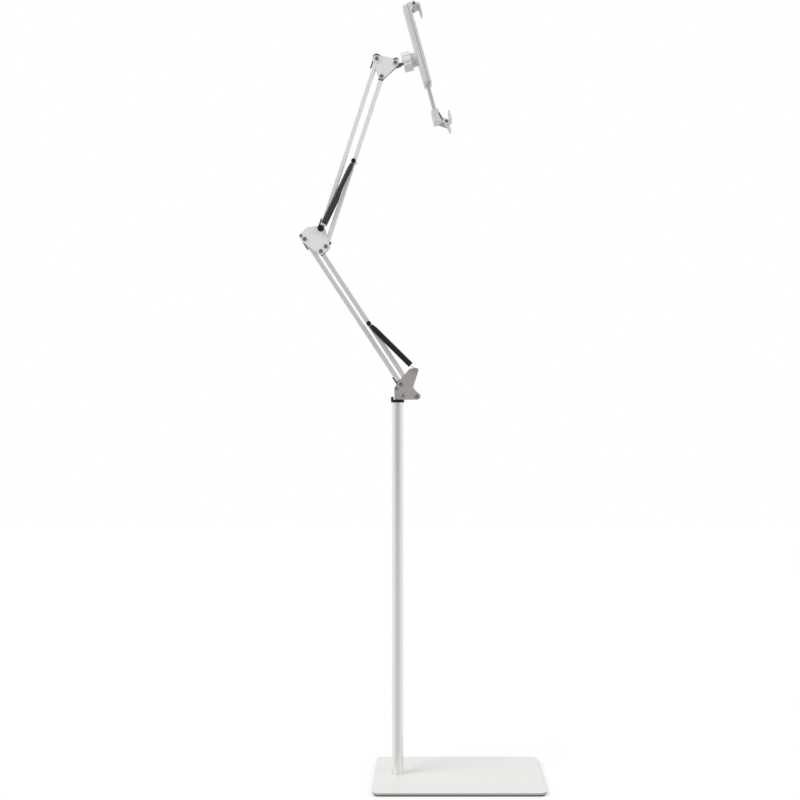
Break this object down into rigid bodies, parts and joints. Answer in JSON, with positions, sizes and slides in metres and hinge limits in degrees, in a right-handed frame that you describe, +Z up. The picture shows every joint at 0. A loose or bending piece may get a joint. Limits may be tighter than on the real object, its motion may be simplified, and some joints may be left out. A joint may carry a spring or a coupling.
{
  "type": "adjustable tablet floor stand",
  "caption": "Floor stand: flat base, tall pole, spring-balanced double parallelogram arm and a clamping tablet holder on a ball joint.",
  "frame": {"origin": "on the floor, under the axis of the pole", "axes": "+X runs right along the base, +Y away from the viewer, +Z up the pole"},
  "size_m": [0.5235, 0.28, 1.685],
  "materials": {
    "rubber_mat": "matte",
    "white_steel": "satin",
    "steel": "satin",
    "black_plastic": "satin",
    "white_plastic": "satin",
    "silver_aluminium": "satin",
    "black_steel": "satin",
    "grey_plastic": "satin",
    "nylon": "satin"
  },
  "bodies": {
    "stand": {"base_mat": "rubber_mat", "base_plate": "white_steel", "base_screw": "steel", "pole_foot_plug": "steel", "pole": "silver_aluminium", "pole_bush": "nylon", "bush_screw": "steel"},
    "base_bracket": {"swivel_washer": "black_plastic", "swivel_pin": "steel", "foot_block": "silver_aluminium", "base_cheeks": "silver_aluminium", "base_bolts": "steel", "base_nuts": "steel", "base_rivets": "steel", "base_spring_pin": "steel", "base_spools": "black_plastic"},
    "lower_inner_link": {"lower_inner_tube": "silver_aluminium", "lower_inner_plugs": "black_plastic", "lower_hook_pin": "steel", "lower_hook_spools": "black_plastic"},
    "lower_outer_link": {"lower_outer_tube": "silver_aluminium", "lower_outer_plugs": "black_plastic"},
    "lower_spring": {"lower_spring_coils": "black_steel", "lower_spring_sleeves": "black_plastic"},
    "lower_tail": {"lower_spring_tails": "black_steel"},
    "elbow": {"elbow_cheeks": "white_steel", "elbow_bolts": "steel", "elbow_nuts": "steel", "elbow_rivet": "steel", "elbow_spring_pin": "steel", "elbow_spools": "black_plastic"},
    "upper_inner_link": {"upper_inner_tube": "silver_aluminium", "upper_inner_plugs": "black_plastic", "upper_hook_pin": "steel", "upper_hook_spools": "black_plastic"},
    "upper_outer_link": {"upper_outer_tube": "silver_aluminium", "upper_outer_plugs": "black_plastic"},
    "upper_spring": {"upper_spring_coils": "black_steel", "upper_spring_sleeves": "black_plastic"},
    "upper_tail": {"upper_spring_tails": "black_steel"},
    "wrist": {"wrist_cheeks": "white_steel", "wrist_bolts": "steel", "wrist_nuts": "steel", "wrist_washers": "white_plastic"},
    "neck": {"neck": "grey_plastic"},
    "ball_liner": {"ball_liner": "nylon"},
    "ball_socket": {"ball_socket": "white_plastic", "socket_screw": "steel"},
    "clamp_nut": {"clamp_nut": "white_plastic"},
    "holder": {"holder_back": "white_plastic", "holder_front": "white_plastic", "holder_screws": "steel", "holder_pad": "black_plastic", "slide_brake": "nylon", "upper_claw_pin": "steel"},
    "upper_claw": {"upper_claw": "white_plastic"},
    "lower_jaw": {"slide_bar": "silver_aluminium", "lower_jaw": "white_plastic", "lower_claw_pin": "steel"},
    "lower_claw": {"lower_claw": "white_plastic"}
  },
  "joints": [
    {"name": "base_swivel", "type": "hinge", "parent": "stand", "child": "base_bracket", "pos_m": [0, 0, 0.8165], "axis": [0, 0, 1], "continuous": true},
    {"name": "lower_arm", "type": "hinge", "parent": "base_bracket", "child": "lower_inner_link", "pos_m": [0.0418, 0, 0.824], "axis": [0, 1, 0], "range_deg": [-5, 70], "deforming": ["lower_spring_coils", "lower_spring_sleeves", "lower_spring_tails"]},
    {"name": "lower_outer", "type": "hinge", "parent": "base_bracket", "child": "lower_outer_link", "pos_m": [0.0069, 0, 0.8501], "axis": [0, 1, 0], "range_deg": [-5.5, 70.5]},
    {"name": "elbow_level", "type": "hinge", "parent": "lower_inner_link", "child": "elbow", "pos_m": [-0.16518, 0, 1.13671], "axis": [0, 1, 0], "range_deg": [-70.5, 5.5]},
    {"name": "lower_spring_turn", "type": "hinge", "parent": "lower_inner_link", "child": "lower_spring", "pos_m": [-0.06169, 0, 0.98035], "axis": [0, 1, 0], "range_deg": [-2.37, 26.61]},
    {"name": "lower_tail_turn", "type": "hinge", "parent": "base_bracket", "child": "lower_tail", "pos_m": [0.04, 0, 0.88], "axis": [0, 1, 0], "range_deg": [-7.37, 96.61]},
    {"name": "upper_arm", "type": "hinge", "parent": "elbow", "child": "upper_inner_link", "pos_m": [-0.15448, 0, 1.14691], "axis": [0, 1, 0], "range_deg": [-12, 55], "deforming": ["upper_spring_coils", "upper_spring_sleeves", "upper_spring_tails"]},
    {"name": "upper_outer", "type": "hinge", "parent": "elbow", "child": "upper_outer_link", "pos_m": [-0.16478, 0, 1.18461], "axis": [0, 1, 0], "range_deg": [-12.5, 55.5]},
    {"name": "wrist_level", "type": "hinge", "parent": "upper_inner_link", "child": "wrist", "pos_m": [-0.03456, 0, 1.51381], "axis": [0, 1, 0], "range_deg": [-55.5, 12.5]},
    {"name": "upper_spring_turn", "type": "hinge", "parent": "upper_inner_link", "child": "upper_spring", "pos_m": [-0.09452, 0, 1.33036], "axis": [0, 1, 0], "range_deg": [-1.58, 5.45]},
    {"name": "upper_tail_turn", "type": "hinge", "parent": "elbow", "child": "upper_tail", "pos_m": [-0.16478, 0, 1.18461], "axis": [0, 1, 0], "range_deg": [-13.58, 60.45]},
    {"name": "neck_tilt", "type": "hinge", "parent": "wrist", "child": "neck", "pos_m": [-0.00496, 0, 1.54301], "axis": [0, 1, 0], "range_deg": [-35, 25]},
    {"name": "holder_tilt", "type": "hinge", "parent": "neck", "child": "ball_liner", "pos_m": [0.02144, 0, 1.54691], "axis": [0, 1, 0], "range_deg": [-15, 15]},
    {"name": "holder_pan", "type": "hinge", "parent": "ball_liner", "child": "ball_socket", "pos_m": [0.02144, 0, 1.54691], "axis": [-0.2672, 0, 0.9636], "range_deg": [-15, 15]},
    {"name": "holder_spin", "type": "hinge", "parent": "ball_socket", "child": "holder", "pos_m": [0.03879, 0, 1.55172], "axis": [0.9636, 0, 0.2672], "continuous": true},
    {"name": "nut_turn", "type": "hinge", "parent": "ball_socket", "child": "clamp_nut", "pos_m": [0.02144, 0, 1.54691], "axis": [0.9636, 0, 0.2672], "range_deg": [-120, 0]},
    {"name": "lower_jaw_slide", "type": "slide", "parent": "holder", "child": "lower_jaw", "axis": [0.2672, 0, -0.9636], "range_m": [-0.05, 0.015]},
    {"name": "upper_claw_fold", "type": "hinge", "parent": "holder", "child": "upper_claw", "pos_m": [0.03536, 0, 1.66512], "axis": [0, 1, 0], "range_deg": [-50, 0]},
    {"name": "lower_claw_fold", "type": "hinge", "parent": "lower_jaw", "child": "lower_claw", "pos_m": [0.10524, 0, 1.41314], "axis": [0, 1, 0], "range_deg": [0, 50]}
  ],
  "couplings": [
    {"joint": "lower_outer", "follows": "lower_arm", "ratio": 1},
    {"joint": "elbow_level", "follows": "lower_arm", "ratio": -1},
    {"joint": "lower_spring_turn", "follows": "lower_arm", "ratio": 0.373},
    {"joint": "lower_tail_turn", "follows": "lower_arm", "ratio": 1.373},
    {"joint": "upper_outer", "follows": "upper_arm", "ratio": 1},
    {"joint": "wrist_level", "follows": "upper_arm", "ratio": -1},
    {"joint": "upper_spring_turn", "follows": "upper_arm", "ratio": 0.09},
    {"joint": "upper_tail_turn", "follows": "upper_arm", "ratio": 1.09}
  ]
}
